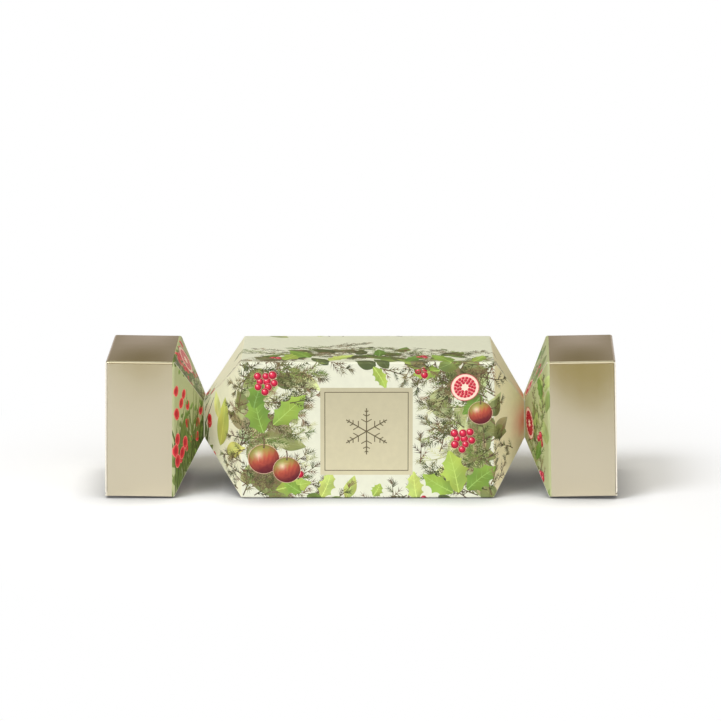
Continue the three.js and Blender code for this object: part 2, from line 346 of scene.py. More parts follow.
def bough(x, s, angle, length, bend, twigLength=7.0, reach=2.8, gap=2.1, shades=firTones):
    steps = max(4, round(length / fir["boughStep"]))
    path = arcPath(x, s, angle, length, bend, steps)
    stem = mistTones[1] if shades is mistTones else dice.choice(barkTones)
    ribbon(path, [fir["boughWidth"] * (1 - 0.7 * i / steps) for i in range(steps + 1)], stem)
    count = max(3, round(length / gap))
    for i in range(count):
        t = 0.03 + 0.97 * (i + 0.5) / count
        k = min(int(t * steps), steps - 1)
        (ax, ay), (bx, by), f = path[k], path[k + 1], t * steps - k
        size = twigLength * (1.05 - 0.75 * t) * dice.uniform(0.75, 1.15)
        lean = (1 if i % 2 else -1) * dice.uniform(0.45, 0.8)
        twig(ax + f * (bx - ax), ay + f * (by - ay), math.atan2(by - ay, bx - ax) + lean, size, reach, shades)
    twig(*path[-1], angle + bend, twigLength * 0.4, reach, shades)


def boughs(x0, s0, specs, **more):
    for x, s, degrees, length, bend in specs:
        bough(x0 + x, s0 + s, math.radians(degrees), length, bend, **more)


def shadedLeaf(x, s, angle, length, widths, tone):
    # widths: half width at even steps. Three nested outlines take one smooth shading, so it shows no seam.
    n = len(widths) - 1
    path = arcPath(x, s, angle, length, dice.uniform(-0.4, 0.4), n)
    lift, phase = dice.uniform(0.9, 1.15), dice.uniform(0, 6)
    (x0, s0), (x1, s1) = path[0], path[-1]
    along = ((x1 - x0) / length, (s1 - s0) / length)
    wide = max(widths)

    def tint(px, ps):
        t = ((px - x0) * along[0] + (ps - s0) * along[1]) / length
        w = ((ps - s0) * along[0] - (px - x0) * along[1]) / wide
        glow = lift * (0.8 + 0.3 * t + 0.16 * w + 0.1 * np.sin(9 * t + 2.5 * w + phase))
        warm = 0.05 * np.sin(5 * t - 3 * w + phase)
        return np.stack([tone[0] * (glow + warm), tone[1] * glow, tone[2] * (glow - warm)], 1)

    for share in (1.0, 0.66, 0.33):
        ribbon(path, [2 * share * w for w in widths], tint)
    return path


def hollyLeaf(x, s, angle, length, width, tone, spines=4, steps=24):
    widths = []
    for i in range(steps + 1):
        t = i / steps
        body = math.sin(math.pi * t ** 0.85) ** 0.8 if 0 < t < 1 else 0
        widths.append(width / 2 * body * (1 - 0.34 * abs(math.sin(math.pi * spines * t)) ** 0.7) + 0.02)
    path = shadedLeaf(x, s, angle, length, widths, tone)
    vein = [min(1, c * 1.3 + 0.05) for c in tone]
    ribbon(path, [0.34 * (1 - 0.8 * i / steps) + 0.05 for i in range(steps + 1)], vein)
    for i in range(4, 20, 4):
        for sign in (1, -1):
            reach = width * 0.34 * math.sin(math.pi * i / steps)
            needle(*path[i], headingAt(path, i) + sign * 0.85, reach, 0.16, vein)


def ovalLeaf(x, s, angle, length, width, tone, steps=12):
    widths = [width / 2 * math.sin(math.pi * (i / steps) ** 0.8) ** 0.9 for i in range(1, steps)]
    widths = [0.04] + widths + [0.04]
    path = shadedLeaf(x, s, angle, length, widths, tone)
    ribbon(path, [0.16] * (steps + 1), [min(1, c * 1.2 + 0.03) for c in tone])


def looseLeaf(x, s, angle, lengths, widths, shades):
    ovalLeaf(x, s, angle, dice.uniform(*lengths), dice.uniform(*widths), dice.choice(shades))


def upright(reach):
    return math.radians(90 + dice.uniform(-reach, reach))


def disc(x, s, r, tint, count=12, squash=1.0, turn=0.0):
    points = []
    for i in range(count):
        a = 2 * math.pi * i / count
        points.append(shifted(x, s, r * math.cos(a), r * squash * math.sin(a), turn))
    add(points, tint)


def discs(x, s, r, layers, *shape):
    # layers: x, s and radius as shares of r, the number of corners and the colour
    for dx, ds, share, count, colour in layers:
        disc(x + dx * r, s + ds * r, r * share, linear(*colour), count, *shape)


def berry(x, s, r):
    discs(x, s, r, (
        (0, 0, 1.1, 10, (222, 134, 132)), (0, 0, 1, 10, (146, 8, 40)), (-0.12, 0.12, 0.78, 10, (200, 16, 60)),
        (-0.2, 0.22, 0.5, 8, (232, 54, 90)), (-0.3, 0.38, 0.2, 6, (255, 210, 218))))


def berries(x, s, count, reach, r=1.35):
    spots = []
    for i in range(count):
        a = i * 2.4 + 0.5
        d = reach * math.sqrt((i + 0.4) / count)
        spots.append((x + d * math.cos(a), s + 0.85 * d * math.sin(a)))
    for px, ps in spots:
        stalk = [(x, s - reach), ((x + px) / 2, (s - reach + ps) / 2 + 0.3), (px, ps)]
        ribbon(stalk, [0.3, 0.25, 0.2], dice.choice(barkTones))
    for px, ps in spots:
        berry(px, ps, r * dice.uniform(0.85, 1.1))


def apple(x, s, radius, seed, squash=0.95, rings=7):
    top, cheek, low = np.array(tones((172, 176, 84), (190, 84, 62), (112, 22, 36)))

    def tint(xs, ss):
        # Pale above, red below, with fine streaks, a dark rim and a gleam
        u, v = (xs - x) / radius, (ss - s) / (radius * squash)
        streak = 0.5 + 0.5 * np.sin(np.arctan2(u, v + 1.4) * 34 + seed)
        t = np.clip(0.52 - 0.62 * v + 0.28 * u + 0.16 * (streak - 0.5), 0, 1)[:, None]
        base = np.where(t < 0.5, top + (cheek - top) * t * 2, cheek + (low - cheek) * (t * 2 - 1))
        rim = np.clip(1 - 0.5 * (u * u + v * v) ** 2, 0.4, 1)[:, None]
        gleam = np.exp(-((u + 0.34) ** 2 + (v - 0.3) ** 2) / 0.05)[:, None]
        return base * rim + gleam * 0.4

    disc(x, s, radius * 1.035, linear(226, 182, 160), 22, squash)
    for k in range(rings):
        disc(x, s, radius * (1 - k / rings), tint, 26 - 2 * k, squash)
    stalk = arcPath(x, s + radius * 0.72, 1.3, radius * 0.75, 0.5, 4)
    ribbon(stalk, [0.75, 0.5, 0.45, 0.45, 0.6], barkTones[0])


def halfFruit(x, s, radius, squash=1.0, turn=0.0):
    # A cut round fruit full of small red kernels
    discs(x, s, radius, (
        (0, 0, 1, 26, (206, 78, 88)), (0, 0, 0.95, 26, (250, 222, 206)), (0, 0, 0.78, 22, (240, 150, 150)),
        (0, 0, 0.3, 12, (252, 226, 208))), squash, turn)
    for ring, count in ((0.68, 17), (0.5, 13), (0.33, 8)):
        for i in range(count):
            a = 2 * math.pi * (i + 0.5 * (ring == 0.5)) / count
            px, ps = shifted(x, s, radius * ring * math.cos(a), radius * ring * squash * math.sin(a), turn)
            discs(px, ps, radius * 0.105, ((0, 0, 1, 6, (176, 14, 44)), (-0.2, 0.25, 0.5, 5, (232, 52, 80))))


# How many plants each face has, and how far they come over the long edges
planting = {
    "front": 20, "back": 8, "overTop": 15, "topReach": 40, "overBottom": 4, "bottomReach": 10,
    "tapers": {"bottom": 1, "front": 2, "top": 0, "back": 2},
}


def thicket(s0, count, shades, reach, far, clear=19.0):
    # Boughs from both sides towards the middle, none of them into the clear place round the label
    for k in range(count):
        side = 1 if k % 2 else -1
        x, s = side * (46 - 18 * dice.random() ** 1.5), dice.uniform(-25, 24)
        lean = dice.uniform(-38, 42) if abs(s) < 16 else dice.uniform(-20, 45) * (-1 if s > 0 else 1)
        angle = math.radians(lean if side < 0 else 180 - lean)
        length = dice.uniform(11, far)
        if abs(s) < clear:
            length = min(length, (abs(x) - clear) / math.cos(math.radians(lean)))
        bend = dice.uniform(-0.5, 0.5)
        bough(x, s0 + s, angle, max(6, length - 2), bend, twigLength=6.2, reach=reach, shades=shades)


def garland(s0, flip, busy):
    # One face's plants round a clear middle. flip is 1 or -1 along x.
    def mirrored(degrees):
        angle = math.radians(degrees)
        return angle if flip > 0 else math.pi - angle

    def branches(specs, **more):
        for x, s, degrees, length, bend in specs:
            bough(x * flip, s0 + s, mirrored(degrees), length, bend * flip, **more)

    for x, s, d, n, w, c in (
            (-45, 12, 20, 16, 8, (190, 204, 148)), (-46, -4, 50, 16, 8, (196, 208, 156)),
            (-28, 21, -20, 13, 5, (206, 216, 150)), (45, -4, 150, 15, 8, (196, 208, 154)),
            (44, 20, 200, 15, 8, (190, 204, 146)), (24, -20, 60, 10, 4.5, (208, 218, 150)),
            (-46, -18, 20, 15, 8, (176, 192, 128)), (45, -18, 140, 16, 9, (182, 198, 134)),
            (-8, -25, 60, 9, 4.5, (190, 208, 110))):
        ovalLeaf(x * flip, s0 + s, mirrored(d), n, w, linear(*c))
    for k in range(3 * busy):
        side = 1 if k % 2 else -1
        looseLeaf(side * (45 - 15 * dice.random() ** 1.3), s0 + dice.uniform(-25, 25),
                  math.radians(dice.uniform(0, 360)), (7, 12), (4, 7), backTones)
    thicket(s0, busy, mistTones, 2.8, 19)
    branches((
        (-45, -24, 66, 40, 0.5), (-46, -6, 48, 28, -0.5), (-44, 17, 18, 27, -0.35), (-44, -20, 16, 25, 0.35),
        (-40, 4, 12, 18, 0.45), (-30, 24, -28, 14, 0.2), (45, -24, 112, 38, -0.45), (46, 2, 128, 24, 0.4),
        (45, 19, 170, 24, 0.3), (44, -12, 150, 20, -0.5), (31, 25, 222, 15, -0.3), (40, -24, 162, 22, -0.4),
        (-46, 24, -12, 22, -0.2), (-44, 26, -60, 14, 0.3), (-47, 8, 70, 15, 0.3), (-47, -10, 80, 14, -0.3),
        (46, 24, 200, 20, 0.3), (46, 26, 250, 14, -0.3), (-34, 26, -40, 12, 0.3), (36, 26, 230, 12, 0.3)))
    thicket(s0, busy, mossTones, 2.4, 16)
    thicket(s0, round(1.6 * busy), firTones, 2.9, 20)
    branches((
        (-14, 26, -38, 8, 0.3), (16, 26, -100, 9, -0.3), (22, 27, -120, 13, 0.3), (9, -26, 80, 6, 0.3),
        (14, -26, 60, 8, 0.4), (-20, -25, 40, 9, 0.4), (19, -12, 82, 9, 0.2), (24, 26, -80, 15, 0.3),
        (-13, -26, 20, 9, 0.5)), twigLength=4.5)
    for x, s, degrees, length, width, tone in (
            (-37.5, -1, 112, 15, 10, 1), (-34, 2, 42, 16, 9.5, 4), (-41, 8, 80, 12, 8, 2),
            (-33, -22, 14, 13, 7.5, 0), (-17, -25, 58, 11, 6.5, 3), (-24, -23, 150, 8, 5, 1),
            (33, -23, 100, 16, 11, 0), (36, -22, 48, 14, 9.5, 1), (31, -23, 155, 13, 8, 4),
            (18, -26, 104, 11, 7, 3), (26, 22, 188, 10, 6, 4), (41, 13, 236, 10, 6.5, 2)):
        hollyLeaf(x * flip, s0 + s, mirrored(degrees), length, width, leafTones[tone])
    branches((
        (-42, -19, 52, 11, -0.4), (42, -6, 84, 12, 0.4), (26, -8, 64, 10, 0.5), (-28, 10, 4, 11, 0.4),
        (-41, -24, 30, 12, 0.3), (43, 12, 150, 10, 0.4)), twigLength=4.0)
    for x, s, count, reach in (
            (-37, 17.5, 9, 4.4), (34, -3.5, 9, 4.6), (-25, -16.5, 2, 1.6), (19.5, 21.5, 3, 1.9)):
        berries(flip * x, s0 + s, count, reach)
    halfFruit(flip * 35, s0 + 15.8, 5.2, 0.96, 0.3)
    for x, s, radius, seed in ((-37.5, -10.6, 5.6, 1), (-29.2, -14.6, 4.9, 4), (40.6, 6.4, 4.3, 2)):
        apple(flip * x, s0 + s, radius, seed)


def overEdge(s0, flip, busy, high):
    # Plants that come over a long edge onto the next panel, highest at the middle
    def depth(x):
        return high * math.sqrt(max(0.05, 1 - (x / 45) ** 2))

    def turned(degrees):
        return math.radians(degrees * flip)

    for k in range(2 * busy):
        x = -38 + 76 * (k + 0.5) / (2 * busy) + dice.uniform(-2, 2)
        s = flip * dice.uniform(-0.09, 0.5) * depth(x)
        angle = turned(dice.choice((20, 160, 50, 130, 80)))
        looseLeaf(x, s0 + s, angle, (7, 12), (4, 7), edgeTones)
    for k in range(5 * busy):
        x = -43 + 86 * (k + 0.5) / (5 * busy) + dice.uniform(-2, 2)
        s = dice.uniform(-0.1, 0.8) * depth(x)
        ahead = 1 if x < 0 else -1
        if dice.random() < 0.35:
            ahead = -ahead
        lean = dice.uniform(-10, 60) if s < 0.5 * high else dice.uniform(-20, 25)
        angle = turned(lean if ahead > 0 else 180 - lean)
        length, bend = dice.uniform(9, 15), dice.uniform(-0.35, 0.35)
        shades = dice.choice((firTones, firTones, mossTones))
        bough(x, s0 + flip * s, angle, length, bend, twigLength=5.0, reach=2.5, shades=shades)
    for x, s, degrees, length, width, tone in (
            (-30, 3, 70, 14, 9, 0), (-21, 6, 110, 13, 8, 1), (-14, 2, 60, 12, 7, 3), (30, 0, 110, 13, 8, 4),
            (38, 1, 60, 10, 6, 0), (14, 1, 64, 12, 7, 2), (2, -1, -50, 8, 5, 0), (4, 8, 80, 11, 6, 2)):
        length *= 0.5 + high / 60
        hollyLeaf(x, s0 + flip * s * high / 30, turned(degrees), length, width, leafTones[tone])
    for x, s, count, reach in ((-33, 6, 3, 1.8), (20, 7, 4, 2.2)):
        berries(x, s0 + flip * s * high / 30, count, reach, 1.2)


def bud(x, s, r):
    turn = dice.uniform(-0.3, 0.3)
    disc(x, s, r * 1.15, linear(238, 130, 124), 9, 1.45, turn)
    disc(x, s, r, linear(222, 52, 62), 9, 1.45, turn)
    disc(x - 0.2, s + 0.1, r * 0.6, linear(190, 20, 44), 7, 1.4, turn)


def bladeTuft(x0, x1, s0, count, low, high, steps=7):
    # Grass, some of it with a red bud
    for i in range(count):
        length = dice.uniform(low, high)
        x, lean, bend = dice.uniform(x0, x1), dice.uniform(-16, 16), dice.uniform(-0.5, 0.5)
        path = arcPath(x, s0, math.radians(90 + lean), length, bend, steps)
        ribbon(path, [0.62 * (1 - 0.75 * k / steps) for k in range(steps + 1)], dice.choice(grassTones))
        if i % 9 == 0:
            bud(*path[-1], 1.2)


def bodyTaperPlants(s0, busy):
    specs = (3, -19, 40, 11, 0.5), (-2, -10, 30, 9, 0.4), (13, -9, 150, 7, 0.3)
    boughs(halfBody, s0, specs[:busy + 1], twigLength=4.0)
    for x, s, degrees, length, width, colour in (
            (-13, -8, 74, 19, 7, (200, 208, 104)), (-9, -10, 28, 11, 6, (210, 214, 120)),
            (-14, 2, 96, 10, 4, (214, 220, 140))):
        ovalLeaf(x - halfBody, s0 + s, math.radians(degrees), length, width, linear(*colour))
    boughs(-halfBody, s0, (
        (1, 6, 150, 9, 0.4), (1, -3, 170, 8, 0.3), (1, -12, 160, 12, 0.4), (2, -20, 140, 9, 0.5),
        (1, 15, 158, 7, 0.3), (0, -16, 176, 9, -0.3), (2, 10, 196, 8, 0.4), (2, 19, 214, 8, 0.3),
        (1, -7, 200, 8, 0.3), (1, 1, 140, 8, 0.3), (-2, -22, 150, 9, 0.3)), twigLength=4.6)
    boughs(halfBody, s0, (
        (-1, 19, -20, 8, 0.3), (-1, -20, 60, 8, 0.3), (-1, -4, 40, 7, -0.3), (-1, 8, 10, 6, 0.3)),
        twigLength=4.4)


def endTaperPlants(s0):
    # The left end taper has grass with small buds, the right one a cut fruit and fir
    edge, neck = sheetEdge["left"]
    for i in range(28):
        x, s = dice.uniform(edge, neck + 2), s0 + dice.uniform(-26, -6)
        looseLeaf(x, s, upright(40), (6, 11), (3, 5), deepTones)
    bladeTuft(edge - 1, neck + 2, s0 - 26, 52, 12, 28)
    bladeTuft(neck - 11, neck + 2, s0 - 14, 36, 9, 28)
    bladeTuft(edge, neck, s0 - 6, 16, 9, 18)
    for i in range(26):
        x, s, angle = dice.uniform(edge, neck), s0 + dice.uniform(-12, 20), dice.uniform(0.6, 2.4)
        ovalLeaf(x, s, angle, dice.uniform(1.8, 3.4), 1.4, dice.choice(freshTones))
    for x, s, r in (
            (1.2, 14, 1.3), (4.6, 9, 1.3), (1.6, 5.5, 1.5), (2.2, -4, 1.5), (7.5, -6, 1.5), (1.2, -8, 1.6),
            (5.5, -9.5, 1.5), (2.4, -12, 1.6)):
        bud(edge + x, s0 + s, r)
    neck, edge = sheetEdge["right"]
    for i in range(8):
        x, s = dice.uniform(neck + 4, edge), s0 + dice.uniform(-22, 18)
        looseLeaf(x, s, upright(30), (8, 13), (3, 5), paleTones)
    for spec in ((10, -24, 98, 24, -0.3), (14, -16, 88, 22, 0.25), (6, -12, 76, 14, 0.3), (9, 2, 84, 16, 0.3),
                 (16, -20, 104, 16, 0.3), (16, 2, 96, 16, -0.3), (12, -5, 60, 9, 0.2), (3, -8, 60, 8, -0.3)):
        boughs(neck, s0, (spec,), twigLength=4.4, reach=2.4, shades=dice.choice((firTones, mossTones)))
    halfFruit(neck + 4.6, s0 - 0.5, 6.0, 0.55, math.radians(104))
    berries(neck + 13.5, s0 - 5, 4, 2.2, 1.4)
    berries(neck + 14.5, s0 - 18, 3, 1.6, 1.3)
    for x, s, degrees in ((10, -13, 60), (15, 10, 100), (12, 18, 80)):
        hollyLeaf(neck + x, s0 + s, math.radians(degrees), 9, 5, leafTones[2])


def rectangle(x0, x1, s0, s1):
    points = [(x0, s0), (x1, s0), (x1, s1), (x0, s1)]
    return points if x1 > x0 else points[::-1]


garland(0, 1, planting["front"])
overEdge(panelHalf, 1, planting["overTop"], planting["topReach"])
overEdge(-panelHalf, -1, planting["overBottom"], planting["bottomReach"])
garland(2 * pitch, -1, planting["back"])
for sideName, busy in planting["tapers"].items():
    if busy:
        bodyTaperPlants(sideRow[sideName] * pitch, busy)
    endTaperPlants(sideRow[sideName] * pitch)
halfFruit(sheetEdge["left"][0] + 5.5, pitch + 4, 5.4, 1.5)
# Painted highlight across each neck fold: a pale band where the bent board shines over its cracked print,
# with a darker line along its middle
paintedNeckHighlight = {"width": 1.3, "line": 0.2, "pale": (232, 234, 214), "dark": (140, 138, 112)}
for name in units:
    at = sheet[name][1]
    for part, tone in (("width", "pale"), ("line", "dark")):
        half = paintedNeckHighlight[part] / 2
        add(rectangle(at - half, at + half, -4 * middle, 8 * middle), linear(*paintedNeckHighlight[tone]))
plate = {
    "width": 33.3, "height": 32.0, "x": -0.4, "s": -0.4, "line": 0.28, "inset": 1.5,
    # Painted sheen: light lifts the plate at the bottom, and the darkening deepens it towards the top
    "light": 1.06, "paintedSheenDarkening": 0.2,
    "star": 8.5, "armLine": 0.4, "twigLine": 0.34,
    "twigs": (3.4, 5.6, 7.2), "twigTip": 9.4, "twigShare": 0.36,
}


def labelPlate():
    # A bare champagne plate with a painted sheen, a thin frame and a plain six-armed star
    x0, s0, inset = plate["x"], plate["s"], plate["inset"]
    half, tall = plate["width"] / 2, plate["height"] / 2
    ink = linear(*finish["ink"])

    def tone(xs, ss):
        # Painted sheen: a little darker towards the top and lighter at the bottom
        t = np.clip((ss + tall) / (2 * tall), 0, 1)[:, None]
        return np.array(linear(*finish["plate"])) * (plate["light"] - plate["paintedSheenDarkening"] * t)

    for less, tint in ((0, tone), (inset, ink), (inset + plate["line"], tone)):
        add(rectangle(x0 - half + less, x0 + half - less, s0 - tall + less, s0 + tall - less), tint)
    for arm in range(6):
        angle = math.pi / 2 + arm * math.pi / 3
        ribbon([(x0, s0), polar(x0, s0, angle, plate["star"])], [plate["armLine"]] * 2, ink)
        for along in plate["twigs"]:
            x, s = polar(x0, s0, angle, along)
            for sign in (1, -1):
                reach = (plate["twigTip"] - along) * plate["twigShare"]
                end = polar(x, s, angle + sign * math.pi / 3, reach)
                ribbon([(x, s), end], [plate["twigLine"]] * 2, ink)


labelPlate()
print("artwork laid out,", len(art), "shapes")

# Panels, cut from the flat sheet and folded


def smooth(t):
    t = np.clip(t, 0, 1)
    return t * t * (3 - 2 * t)


def flipped(unit):
    # The directions of a side are given for the right end, which is turned half round for the left one
    return np.array([1, 1, 1]) if unit is None or unit.direction > 0 else np.array([-1, -1, 1])


def toRoom(points, normals, unit, tilted):
    if unit is not None:
        if tilted:
            points, normals = points @ unit.tilt.T, normals @ unit.tilt.T
            points = points + np.array([unit.neckX, 0, 0])
        points, normals = points @ unit.group.T, normals @ unit.group.T
    return points + np.array([0, 0, carton["section"] / 2]), normals


def sheetPlace(strip, sideName, unit, offset, tilted, radius=foldRadius, bow=0.0, bend=0):
    # Gives the function from sheet places to middle points and outward normals
    direction = 1 if unit is None else unit.direction
    out = np.array(outward[sideName]) * flipped(unit)
    over = np.array(across[sideName]) * flipped(unit)
    row = sideRow[sideName] * pitch
    flat = middle - radius

    def place(xs, ss):
        # A radius of 0 leaves the long edges flat, for a panel that is cut there
        along = (np.asarray(xs) - offset) * direction
        v = np.asarray(ss) - row
        profile, tangentNormal = strip.at(along)
        if radius:
            v = v * (flat + radius * math.pi / 4) / panelHalf
            phi = np.clip(np.abs(v) - flat, 0, None) / radius
            a = np.sign(v) * (np.minimum(np.abs(v), flat) + radius * np.sin(phi))
        else:
            phi, a = np.zeros(len(v)), v
        profile = profile - tangentNormal * (radius * (1 - np.cos(phi)))[:, None]
        up = tangentNormal[:, :1] * alongX + tangentNormal[:, 1:] * out
        points = profile[:, :1] * alongX + a[:, None] * over + profile[:, 1:] * out
        normals = up * np.cos(phi)[:, None] + over * (np.sign(v) * np.sin(phi))[:, None]
        if bow:
            t = math.pi * np.clip(along / strip.length, 0, 1)
            w = math.pi / 2 * np.clip(v / flatHalf, -1, 1)
            points = points + up * (bow * np.sin(t) * np.cos(w))[:, None]
            slopeA = bow * math.pi / strip.length * np.cos(t) * np.cos(w)
            slopeV = -bow * math.pi / 2 / flatHalf * np.sin(t) * np.sin(w)
            normals = normals - alongX * slopeA[:, None] - over * slopeV[:, None]
        # The last millimetres at the neck turn with the end unit, so that the fold closes
        reach = carton["neckBend"]
        if bend > 0:
            w = 0.5 * smooth((along - strip.length + reach) / reach)[:, None]
            points = points - alongX * unit.neckX
            points = points + w * (points @ unit.tilt.T - points) + alongX * unit.neckX
            normals = normals + w * (normals @ unit.tilt.T - normals)
        elif bend < 0:
            w = 0.5 + 0.5 * smooth(along / reach)[:, None]
            points = points * w + (1 - w) * (points @ unit.tilt)
            normals = normals * w + (1 - w) * (normals @ unit.tilt)
        normals = normals / np.linalg.norm(normals, axis=1)[:, None]
        return toRoom(points, normals, unit, tilted)

    return place


def shownEdges(places, triangles, top):
    # Each point's neighbours along the edges where another shape begins, without points on a straight run
    sides = {(f[i], f[(i + 1) % 3]): k for f, k in zip(triangles, top) for i in range(3)}
    near = {}
    for (a, b), k in sides.items():
        if k > sides.get((b, a), -1):
            near.setdefault(a, set()).add(b)
            near.setdefault(b, set()).add(a)
    for v in list(near):
        if len(near[v]) != 2:
            continue
        a, b = near[v]
        run, step = places[b] - places[a], places[v] - places[a]
        if b not in near[a] and abs(run.cross(step)) < carton["straight"] * run.length:
            for end, other in ((a, b), (b, a)):
                near[end].discard(v)
                near[end].add(other)
            del near[v]
    return near


def triangulate(outline, lines, shapes):
    # A first pass finds the topmost shape everywhere, and the second one is made of the edges that show
    edge, near, tree = [Vector(p) for p in outline], {}, None
    if shapes:
        verts, faces = list(edge), [list(range(len(edge)))]
        for points in shapes:
            faces.append(list(range(len(verts), len(verts) + len(points))))
            verts += [Vector(p) for p in points]
        found = delaunay_2d_cdt(verts, [], faces, 1, carton["merge"], True)
        places, top = found[0], [max(ids) if 0 in ids else -1 for ids in found[5]]
        near = shownEdges(places, found[2], top)
        tree = BVHTree.FromPolygons([p.to_3d() for p in places], found[2])
    verts, order = list(edge), {}
    for v in near:
        order[v] = len(verts)
        verts.append(places[v])
    edges = [(order[a], order[b]) for a in near for b in near[a] if a < b]
    for a, b in lines:
        edges.append((len(verts), len(verts) + 1))
        verts += [Vector(a), Vector(b)]
    found = delaunay_2d_cdt(verts, edges, [list(range(len(edge)))], 1, carton["merge"], True)
    keep = [f for f, ids in zip(found[2], found[5]) if 0 in ids]
    used = sorted({i for f in keep for i in f})
    order = {old: new for new, old in enumerate(used)}
    flat = np.array([tuple(found[0][i]) for i in used])
    triangles = np.array([[order[i] for i in f] for f in keep])
    if not tree:
        return flat, triangles, np.zeros(len(triangles), int)
    middles = flat[triangles].mean(axis=1)
    return flat, triangles, np.array([max(0, top[tree.find_nearest((x, s, 0))[2]]) for x, s in middles])


def boundaryLoop(triangles):
    directed = {(f[i], f[(i + 1) % 3]) for f in triangles.tolist() for i in range(3)}
    follow = {a: b for a, b in directed if (b, a) not in directed}
    start = next(iter(follow))
    loop, at = [start], follow[start]
    while at != start and len(loop) <= len(follow):
        loop.append(at)
        at = follow[at]
    return loop


def touches(points, low, high):
    xs, ss = zip(*points)
    return max(xs) > low[0] and min(xs) < high[0] and max(ss) > low[1] and min(ss) < high[1]


# A panel's place in its picture: the share it fills, its margin, the gap beside it and the cut edge's row
picture = {"share": 0.97, "margin": 0.012, "gap": 2, "rowLow": 0.002, "rowHigh": 0.008}


def panel(name, ridesOn, outline, lines, shapes, place, bare, mitre=0.0):
    # shapes are (points, tint, isFoil). bare is the tint and the kind of the sheet where nothing is printed.
    low, high = np.min(outline, axis=0), np.max(outline, axis=0)
    used = [shape for shape in shapes if touches(shape[0], low, high)]
    flat, triangles, ids = triangulate(outline, lines, [shape[0] for shape in used])
    loop = np.array(boundaryLoop(triangles))
    insideFlat, insideTriangles, _ = triangulate(flat[loop].tolist(), lines, [])
    # A mitre widens the printed face at the long edges, so that two tapers nearly meet there
    wide = flat.copy()
    wide[loop, 1] += mitre * np.sign(wide[loop, 1] - (low[1] + high[1]) / 2)
    centre, normal = place(wide[:, 0], wide[:, 1])
    centreIn, normalIn = place(insideFlat[:, 0], insideFlat[:, 1])
    outer, inner = centre + normal * (board / 2), centreIn - normalIn * (board / 2)

    # Printed face, back face and cut edge, each with its faces, normals and place in the picture
    following = np.roll(loop, -1)
    count, base = len(loop), len(outer)
    ring = base + np.arange(count)
    corners, cornersIn = triangles.ravel(), insideTriangles[:, ::-1].ravel()
    cut = np.stack([loop, ring, np.roll(ring, -1), following], 1)
    faces = triangles.tolist() + (base + insideTriangles[:, ::-1]).tolist() + cut.tolist()
    wall = np.cross(outer[following] - outer[loop], normal[loop] + normal[following])
    wall /= np.maximum(np.linalg.norm(wall, axis=1), 1e-9)[:, None]
    normals = np.concatenate([normal[corners], -normalIn[cornersIn], np.repeat(wall, 4, axis=0)])
    width, tall = high - low
    beside = width < tall  # the back face lies beside the printed one in the picture, or above it
    share, margin, gap = picture["share"], picture["margin"], picture["gap"]
    size = share / (max(2 * width + gap, tall + gap) if beside else max(width, 2 * tall + 2 * gap))
    shift = np.array((width + gap, 0) if beside else (0, tall + gap))
    steps = np.linalg.norm(flat[following] - flat[loop], axis=1)
    run = np.concatenate([[0], np.cumsum(steps)]) / steps.sum() * share + margin
    near, far = np.full(count, picture["rowLow"]), np.full(count, picture["rowHigh"])
    uvs = np.concatenate([
        (flat[corners] - low + (0, gap / 2)) * size + margin,
        (insideFlat[cornersIn] - low + shift + (0, gap / 2)) * size + margin,
        np.stack([run[:-1], near, run[:-1], far, run[1:], far, run[1:], near], 1).reshape(-1, 2)])

    # Colours of the printed face: a plain tint, or a function of the place on the sheet
    tints = [bare[0]] + [shape[1] for shape in used]
    isFoil = np.array([bare[1]] + [shape[2] for shape in used])
    cornerId = np.repeat(ids, 3)
    shown = np.array([(0, 0, 0) if callable(t) else t for t in tints])[cornerId]
    for k in set(ids.tolist()):
        if callable(tints[k]):
            on = cornerId == k
            shown[on] = np.clip(tints[k](*flat[corners[on]].T), 0, 1)
    values = np.ones((len(normals), 4), np.float32)
    values[:, :3] = finish["raw"]
    values[:len(shown), :3] = shown
    kinds = np.concatenate([isFoil[ids].astype(int), np.full(len(insideTriangles) + count, 2)])

    mesh = bpy.data.meshes.new(name)
    mesh.from_pydata((np.concatenate([outer, inner]) / 1000).tolist(), [], faces)
    for material in boardMaterials:
        mesh.materials.append(material)
    mesh.polygons.foreach_set("material_index", kinds.tolist())
    mesh.polygons.foreach_set("use_smooth", [True] * len(faces))
    colour = mesh.color_attributes.new(name="print", type="FLOAT_COLOR", domain="CORNER")
    colour.data.foreach_set("color", values.ravel())
    layer = mesh.uv_layers.new(name="OFBake")
    layer.data.foreach_set("uv", uvs.astype(np.float32).ravel())
    mesh.normals_split_custom_set(normals.tolist())
    piece = bpy.data.objects.new(name, mesh)
    scene.collection.objects.link(piece)
    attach(piece, ridesOn)
    return piece


def gridLines(x0, x1, s0, s1, foldArcs, sideArcs):
    # Lines across the panel where its surface curves, and a coarse grid elsewhere
    def between(a, b):
        count = max(1, round(abs(b - a) / carton["grid"]))
        return [a + (b - a) * i / count for i in range(1, count)]

    far, steps = 3.0, carton["foldSteps"]
    xs, ss = between(x0, x1), between(s0, s1)
    for x, reach in foldArcs:
        xs += [x + reach * i / steps for i in range(1, steps + 1)]
    if sideArcs:
        reach = foldRadius * math.pi / 4
        for i in range(1, steps + 1):
            ss += [s0 + reach * i / steps, s1 - reach * i / steps]
    left, right = min(x0, x1) - far, max(x0, x1) + far
    return [((x, s0 - far), (x, s1 + far)) for x in xs] + [((left, s), (right, s)) for s in ss]


printed = [(points, tint, False) for points, tint in art]
paleTint, mint, foilTint = linear(*finish["pale"]), linear(*finish["mint"]), finish["foil"]
# Where and how wide the painted reflection of the cut fruit lies beside the right neck fold
paintedReflectionSpot = {"inward": 1.5, "wide": 3.2, "up": 1, "tall": 5.5}


